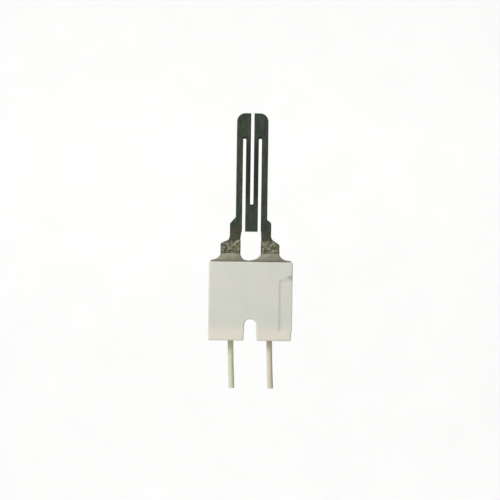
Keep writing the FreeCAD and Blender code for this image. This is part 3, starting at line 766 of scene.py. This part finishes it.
def make_block(material):
    """The ceramic block with a pressed skin, chipped edges and a few pits."""
    mesh = node_mesh("ceramic_block", 0.25 * MM)
    edge = edge_share(mesh)
    points = points_of(mesh)
    normals = normals_of(mesh)
    skin = 0.018 * MM * layered(points, 3.5 * MM, 11) + 0.006 * MM * bumps(points, 0.7 * MM, 15)
    sharp = np.clip((edge - 0.12) / 0.3, 0, 1)
    chip = np.clip(layered(points, 1.3 * MM, 31) - 0.75, 0, 1) * 0.5 * MM * sharp
    wear = 0.03 * MM * sharp * (0.5 + 0.5 * bumps(points, 0.9 * MM, 37))
    pit = np.clip(bumps(points, 0.8 * MM, 41) - 0.82, 0, 1) * 0.25 * MM
    points += normals * (skin - chip - wear - pit)[:, None]
    points = np.clip(points, BLOCK_LOW, BLOCK_HIGH)
    move_points(mesh, points)
    store(mesh, "edge", edge)
    piece = new_piece("block", mesh, material)
    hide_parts("ceramic_block")


def slope_slot_ends(points):
    """Carry the two side slots a little further up at the front, as the saw ran out."""
    front = np.clip((MIDDLE + 0.8 * MM - points[:, 1]) / (1.6 * MM), 0, 1)
    above = points[:, 2] - SIDE_SLOT_END
    near = np.clip((above + 0.4 * MM) / (0.3 * MM), 0, 1) * np.clip(1 - above / (1.3 * MM), 0, 1)
    for sign in SIDES.values():
        across = np.abs(points[:, 0] - sign * SIDE_SLOT_X)
        beside = np.clip((1.1 * MM - across) / (0.4 * MM), 0, 1)
        points[:, 2] += 0.45 * MM * front * near * beside


def make_element(material):
    """The silicon carbide blade: sawn edges, a fine sintered skin and nicked corners."""
    mesh = node_mesh("igniter_element", 0.15 * MM)
    edge = edge_share(mesh)
    points = points_of(mesh)
    normals = normals_of(mesh)
    skin = 0.008 * MM * layered(points, 0.6 * MM, 51) + 0.01 * MM * bumps(points, 5 * MM, 55)
    sharp = np.clip((edge - 0.1) / 0.3, 0, 1)
    nick = np.clip(layered(points, 0.9 * MM, 61) - 0.8, 0, 1) * 0.14 * MM * sharp
    wear = 0.01 * MM * sharp * (1 + bumps(points, 0.5 * MM, 67))
    points += normals * (skin - nick - wear)[:, None]
    slope_slot_ends(points)
    points[:, 2] = np.minimum(points[:, 2], TIP)
    move_points(mesh, points)
    store(mesh, "edge", edge)
    piece = new_piece("element", mesh, material)
    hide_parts("igniter_element")


# ---------------------------------------------------------------- metal coat and cement

COAT = 0.15 * MM
COAT_LOW, COAT_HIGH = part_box("metal_spray_right")
FOOT_END = COAT_LOW[2]
COAT_TOP = COAT_HIGH[2]
COAT_HALF = (COAT_HIGH[1] - COAT_LOW[1]) / 2


def foot_reach(side):
    """How far from the middle one coated foot starts and ends."""
    low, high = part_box(f"metal_spray_{side}")
    return sorted((abs(low[0]), abs(high[0])))


FEET = {side: foot_reach(side) for side in SIDES}

# The slope of each foot's shoulder, and the level at which it meets the foot's outer side.
SHOULDERS = {
    "left": (0.46, BLOCK_TOP + 6.98 * MM),
    "right": (0.75, BLOCK_TOP + 6.46 * MM),
}


def rounded_ring(low_x, high_x, half_y, corner, count):
    """Points round a rectangle with rounded corners, evenly spaced, about MIDDLE."""
    straight_x = high_x - low_x - 2 * corner
    straight_y = 2 * half_y - 2 * corner
    quarter = math.pi * corner / 2
    sides = [
        ((low_x + corner, -half_y), (1, 0), straight_x, -90),
        ((high_x, -half_y + corner), (0, 1), straight_y, 0),
        ((high_x - corner, half_y), (-1, 0), straight_x, 90),
        ((low_x, half_y - corner), (0, -1), straight_y, 180),
    ]
    total = 2 * (straight_x + straight_y) + 4 * quarter
    points = []
    for number in range(count):
        left = total * number / count
        for (start_x, start_y), (way_x, way_y), straight, heading in sides:
            if left < straight:
                points.append((start_x + way_x * left, start_y + way_y * left))
                break
            left -= straight
            if left < quarter:
                angle = math.radians(heading) + left / corner
                centre_x = start_x + way_x * straight - way_y * corner
                centre_y = start_y + way_y * straight + way_x * corner
                points.append(
                    (centre_x + corner * math.cos(angle), centre_y + corner * math.sin(angle))
                )
                break
            left -= quarter
        else:
            points.append(sides[0][0])
    return np.array(points)


def make_coat(side, sign, material, seed, lift):
    """The sprayed metal skin round one foot, lumpy outside, with a ragged upper edge."""
    foot_inner, foot_outer = FEET[side]
    slope, shoulder_end = SHOULDERS[side]
    around = 132
    levels = np.concatenate(
        [
            np.linspace(FOOT_END, BLOCK_TOP - 1.5 * MM, 14),
            np.linspace(BLOCK_TOP - 1.3 * MM, COAT_TOP, 62),
        ]
    )
    outer = []
    inner = []
    for level in levels:
        over = max(0.0, level - shoulder_end)
        reach = foot_outer - over / slope
        ring = rounded_ring(foot_inner, reach, COAT_HALF, 0.25 * MM, around)
        bore = rounded_ring(
            foot_inner + COAT, reach - COAT, COAT_HALF - COAT, 0.05 * MM, around
        )
        outer.append(np.column_stack([ring, np.full(around, level)]))
        inner.append(np.column_stack([bore, np.full(around, level)]))
    outer = np.concatenate(outer)
    inner = np.concatenate(inner)
    ragged = layered(outer * [1, 1, 0], 1.5 * MM, seed + 3) * 0.45 * MM
    low = BLOCK_TOP + 4.5 * MM
    for grid, skin in ((outer, 0.0), (inner, COAT)):
        lifted = np.clip((grid[:, 2] - low) / (COAT_TOP - low), 0, 1)
        grid[:, 2] += np.minimum(lifted * (ragged + lift), 0.3 * MM)
        reach = foot_outer - np.maximum(0, grid[:, 2] - shoulder_end) / slope
        grid[:, 0] = np.minimum(grid[:, 0], reach - skin)
    outward = outer - inner
    outward[:, 2] = 0
    outward /= np.linalg.norm(outward, axis=1, keepdims=True)
    lumps = layered(outer, 0.9 * MM, seed, 4)
    faded = np.clip((COAT_TOP + ragged - outer[:, 2]) / (0.8 * MM), 0.15, 1)
    outer += outward * (0.06 * MM * lumps * faded - 0.02 * MM - 0.09 * MM * (1 - faded))[:, None]
    # edge: nearness to the foot's sides, which the coat's material darkens as painted shade.
    reach = foot_outer - np.maximum(0, outer[:, 2] - shoulder_end) / slope
    from_side = np.minimum(outer[:, 0] - foot_inner, reach - outer[:, 0])
    edge = np.clip(1 - from_side / (0.55 * MM), 0, 1)
    points = np.concatenate([outer, inner])
    points[:, 0] *= sign
    points[:, 1] += MIDDLE
    rings = len(levels)
    inside = rings * around
    last = (rings - 1) * around
    faces = grid_faces(rings, around, flip=sign < 0)
    faces += grid_faces(rings, around, start=inside, flip=sign > 0)
    for i in range(around):
        j = (i + 1) % around
        top = (last + i, last + j, inside + last + j, inside + last + i)
        faces.append(top if sign > 0 else top[::-1])
    for start, flip in ((0, sign > 0), (inside, sign < 0)):
        cap = tuple(start + i for i in range(around))
        faces.append(cap[::-1] if flip else cap)
    mesh = bpy.data.meshes.new(f"coat_{side}")
    mesh.from_pydata(points.tolist(), [], faces)
    store(mesh, "edge", np.concatenate([edge, edge]))
    piece = new_piece(f"coat_{side}", mesh, material)
    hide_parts(f"metal_spray_{side}")


CAP_LOW, CAP_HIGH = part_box("cement_cap")

# How far each collar's skirt runs out: between the feet, then on the outer side.
SKIRTS = {"left": (1.0 * MM, 1.45 * MM), "right": (1.6 * MM, 1.25 * MM)}


def cap_height(x, y):
    """Height of the cement above the block's top: a thin layer drawn up each foot."""
    spot = np.column_stack([x, y, np.zeros(len(x))])
    skim = 0.42 * MM + 0.04 * MM * layered(spot, 2.2 * MM, 71)
    rim = np.minimum(
        (CAP_HIGH[0] - np.abs(x)) / (0.7 * MM),
        (CAP_HIGH[1] - MIDDLE - np.abs(y)) / (0.5 * MM),
    )
    height = skim * np.clip(rim, 0, 1) ** 0.5
    for side, sign in SIDES.items():
        inner, outer = SKIRTS[side]
        foot_inner, foot_outer = FEET[side]
        beyond_x = np.maximum(np.maximum(foot_inner - sign * x, sign * x - foot_outer), 0)
        share = np.clip((sign * x - foot_inner) / (foot_outer - foot_inner), 0, 1)
        beyond_y = np.maximum(np.abs(y) - COAT_HALF, 0)
        away = np.hypot(beyond_x, beyond_y)
        wobble = layered(spot, 3.0 * MM, 81 + sign)
        arch = 0.25 * MM - 0.5 * MM * (2 * share - 1) ** 2
        crest = 2.65 * MM + 0.12 * MM * wobble + arch
        side_drop = 0.3 * MM * np.clip(beyond_x / (0.4 * MM), 0, 1)
        reach = (inner + (outer - inner) * share) * (1 + 0.1 * wobble)
        height = np.maximum(height, skim * 0.9 + (crest - side_drop) * np.exp(-away / reach))
    return height


def make_cap(material):
    """The cement over the cavity, with a smooth collar drawn up round each foot."""
    step = 0.16 * MM
    tuck = 0.06 * MM
    holes = []
    for side, sign in SIDES.items():
        inner, outer = FEET[side]
        holes.append(sorted((sign * (inner + tuck), sign * (outer - tuck))))
    half_y = CAP_HIGH[1] - MIDDLE
    hole_y = COAT_HALF - tuck

    def spaced(*stops):
        lines = [stops[0]]
        for low, high in zip(stops, stops[1:]):
            count = max(2, round((high - low) / step) + 1)
            lines += list(np.linspace(low, high, count)[1:])
        return np.array(lines)

    xs = spaced(CAP_LOW[0], *holes[0], *holes[1], CAP_HIGH[0])
    ys = spaced(-half_y, -hole_y, hole_y, half_y)
    grid_x, grid_y = np.meshgrid(xs, ys)
    x = grid_x.ravel()
    y = grid_y.ravel()
    top_z = BLOCK_TOP + cap_height(x, y)
    cavity_x = 14.0 * MM
    cavity_y = 3.45 * MM
    inside = np.minimum(cavity_x - np.abs(x), cavity_y - np.abs(y))
    low_z = np.where(inside > -0.05 * MM, CAP_LOW[2], BLOCK_TOP - 0.02 * MM)
    top = np.column_stack([x, y + MIDDLE, top_z])
    bottom = np.column_stack([x, y + MIDDLE, low_z])
    columns = len(xs)
    rows = len(ys)
    centre_x = (xs[1:] + xs[:-1]) / 2
    centre_y = (ys[1:] + ys[:-1]) / 2
    in_hole = np.zeros(columns - 1, dtype=bool)
    for start, end in holes:
        in_hole |= (centre_x > start) & (centre_x < end)
    kept = ~(in_hole[None, :] & (np.abs(centre_y) < hole_y)[:, None])
    under = len(top)
    faces = []
    for row in range(rows - 1):
        for column in range(columns - 1):
            if not kept[row, column]:
                continue
            a = row * columns + column
            b, c, d = a + 1, a + columns + 1, a + columns
            faces.append((a, b, c, d))
            faces.append((under + d, under + c, under + b, under + a))
            borders = (
                (row == 0 or not kept[row - 1, column], a, b),
                (column == columns - 2 or not kept[row, column + 1], b, c),
                (row == rows - 2 or not kept[row + 1, column], c, d),
                (column == 0 or not kept[row, column - 1], d, a),
            )
            for open_side, start, end in borders:
                if open_side:
                    faces.append((end, start, under + start, under + end))
    mesh = bpy.data.meshes.new("cap")
    mesh.from_pydata(np.concatenate([top, bottom]).tolist(), [], faces)
    tidy = bmesh.new()
    tidy.from_mesh(mesh)
    loose = [vertex for vertex in tidy.verts if not vertex.link_faces]
    bmesh.ops.delete(tidy, geom=loose, context="VERTS")
    tidy.to_mesh(mesh)
    tidy.free()
    piece = new_piece("cement_collars", mesh, material)
    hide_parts("cement_cap")


# ---------------------------------------------------------------- hidden CAD nodes


def finish_hidden_nodes(cement):
    """Materials for the nodes that stay as packed, inside the cement."""
    steel = plated_metal("terminal_plating", (0.42, 0.4, 0.37), (0.66, 0.64, 0.6), 0.25, 0.45)
    for side in SIDES:
        for kind in ("lead_terminal", "terminal_rivet", "terminal_washer"):
            paint(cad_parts[f"{kind}_{side}"], steel)
    paint(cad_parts["potting_cement"], cement)


def paint(node, material):
    for slot in node.material_slots:
        slot.material = material


# ---------------------------------------------------------------- build

look_from_front()
make_leads(
    glass_braid(),
    silicone(),
    plated_metal("plated_strands", (0.5, 0.47, 0.42), (0.74, 0.71, 0.66), 0.2, 0.4),
)
light_studio()
make_stage()
make_block(steatite())
make_element(silicon_carbide())
spray = sprayed_metal()
make_coat("left", -1, spray, 101, 0.15 * MM)
make_coat("right", 1, spray, 131, -0.1 * MM)
cement = refractory_cement()
make_cap(cement)
finish_hidden_nodes(cement)
